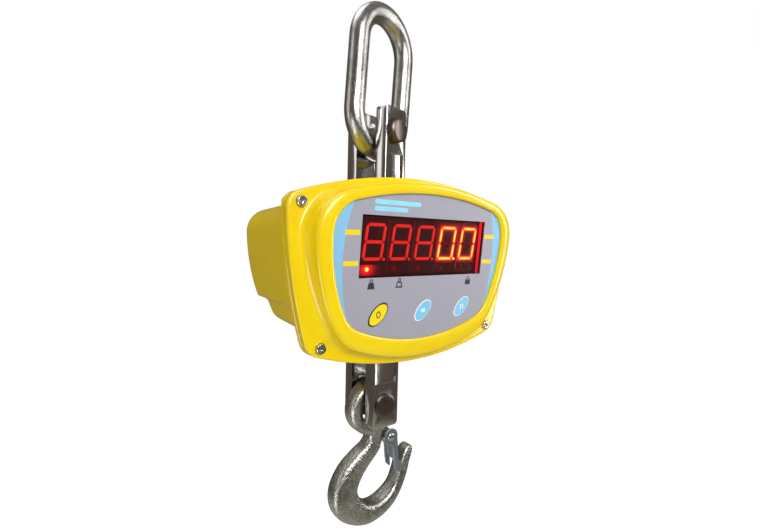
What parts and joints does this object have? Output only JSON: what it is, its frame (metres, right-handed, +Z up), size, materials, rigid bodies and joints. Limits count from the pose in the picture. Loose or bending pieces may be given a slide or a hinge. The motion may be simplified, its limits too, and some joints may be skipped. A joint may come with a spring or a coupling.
{
  "type": "crane scale",
  "caption": "Hanging crane scale with a lifting link, a swivelling fork, a shield-shaped lit display housing and a load hook with a sprung safety latch.",
  "frame": {"origin": "seat inside the top of the lifting link, where a crane hook takes hold", "axes": "+Z up along the hanging load line, -Y out of the display, +X to the right of someone who reads it"},
  "size_m": [0.2537, 0.1598, 0.5322],
  "materials": {
    "forged_steel": "forged and zinc plated, grainy, bright on the high spots",
    "polished_steel": "ground and polished plate with drawn lines",
    "pin_steel": "turned, dull plated",
    "bright_steel": "stainless screws and rings",
    "zinc_sheet": "pressed sheet, blue zinc plate",
    "cell_steel": "nickel plated load cell",
    "yellow_shell": "glossy safety yellow",
    "panel": "printed lilac-grey film with light blue side bands and yellow bars",
    "red_window": "dark red transparent filter",
    "board": "green circuit board",
    "digit_black": "dark display module",
    "red_led": "red lamp",
    "switch_black": "black switch",
    "key_yellow": "yellow key with a dark edge",
    "key_blue": "light blue key with a white edge",
    "rubber_black": "black rubber",
    "brass_part": "plain brass",
    "battery_wrap": "shrink wrapped cells",
    "lead_jacket": "soft lead jacket",
    "strap_steel": "zinc plated strip",
    "plate_foil": "blank foil plate"
  },
  "bodies": {
    "link": {"lifting_link": "forged_steel"},
    "swivel_fork": {"top_fork": "polished_steel", "top_pin": "pin_steel", "top_pin_ring": "bright_steel", "swivel_nut": "bright_steel", "swivel_lock_pin": "bright_steel", "thrust_bearing": "bright_steel"},
    "scale": {"load_cell": "cell_steel", "gauge_covers": "bright_steel", "bottom_fork": "polished_steel", "foot_lock_pin": "bright_steel", "bottom_pin": "pin_steel", "bottom_pin_ring": "bright_steel", "front_cover": "yellow_shell", "cover_gasket": "rubber_black", "cover_screws": "bright_steel", "cover_inserts": "brass_part", "rear_housing": "yellow_shell", "label_overlay": "panel", "display_window": "red_window", "display_board": "board", "digit_module_1": "digit_black", "digit_module_2": "digit_black", "digit_module_3": "digit_black", "digit_module_4": "digit_black", "digit_module_5": "digit_black", "indicator_leds": "red_led", "tact_switches": "switch_black", "lamp_holder": "switch_black", "board_screws": "bright_steel", "board_spacers": "brass_part", "spacer_screws": "bright_steel", "main_board": "board", "main_board_screws": "bright_steel", "mounting_straps": "strap_steel", "cell_screws": "bright_steel", "housing_screws": "bright_steel", "battery_pack": "battery_wrap", "battery_cradle": "strap_steel", "cradle_screws": "bright_steel", "top_seal": "rubber_black", "bottom_seal": "rubber_black", "charge_socket": "switch_black", "charge_socket_nut": "bright_steel", "rating_plate": "plate_foil", "cell_lead": "lead_jacket", "battery_lead": "lead_jacket"},
    "hook": {"hook": "forged_steel", "latch_rivet": "bright_steel", "latch_spring": "bright_steel"},
    "latch": {"latch": "zinc_sheet"},
    "zero_button": {"zero_button": "key_yellow"},
    "unit_button": {"unit_button": "key_blue"},
    "hold_button": {"hold_button": "key_blue"}
  },
  "joints": [
    {"name": "link_swing", "type": "hinge", "parent": "link", "child": "swivel_fork", "pos_m": [-0.00828, -0.00205, -0.10837], "axis": [-0.2402, 0.9707, 0], "range_deg": [-80, 88]},
    {"name": "fork_swivel", "type": "hinge", "parent": "swivel_fork", "child": "scale", "pos_m": [-0.00828, -0.00205, -0.18437], "axis": [0, 0, 1], "continuous": true},
    {"name": "hook_swing", "type": "hinge", "parent": "scale", "child": "hook", "pos_m": [-0.00828, -0.00205, -0.38056], "axis": [0, 1, 0], "range_deg": [-75, 75]},
    {"name": "latch_pivot", "type": "hinge", "parent": "hook", "child": "latch", "pos_m": [0.01322, -0.00205, -0.42407], "axis": [0, 1, 0], "range_deg": [0, 38], "stiffness_Nm_per_rad": 0.04, "springref_deg": -22.92},
    {"name": "zero_key_press", "type": "slide", "parent": "scale", "child": "zero_button", "axis": [0, 0.9965, 0.0837], "range_m": [0, 0.0008], "stiffness_N_per_m": 900},
    {"name": "unit_key_press", "type": "slide", "parent": "scale", "child": "unit_button", "axis": [0, 0.9965, 0.0837], "range_m": [0, 0.0008], "stiffness_N_per_m": 900},
    {"name": "hold_key_press", "type": "slide", "parent": "scale", "child": "hold_button", "axis": [0, 0.9965, 0.0837], "range_m": [0, 0.0008], "stiffness_N_per_m": 900}
  ]
}
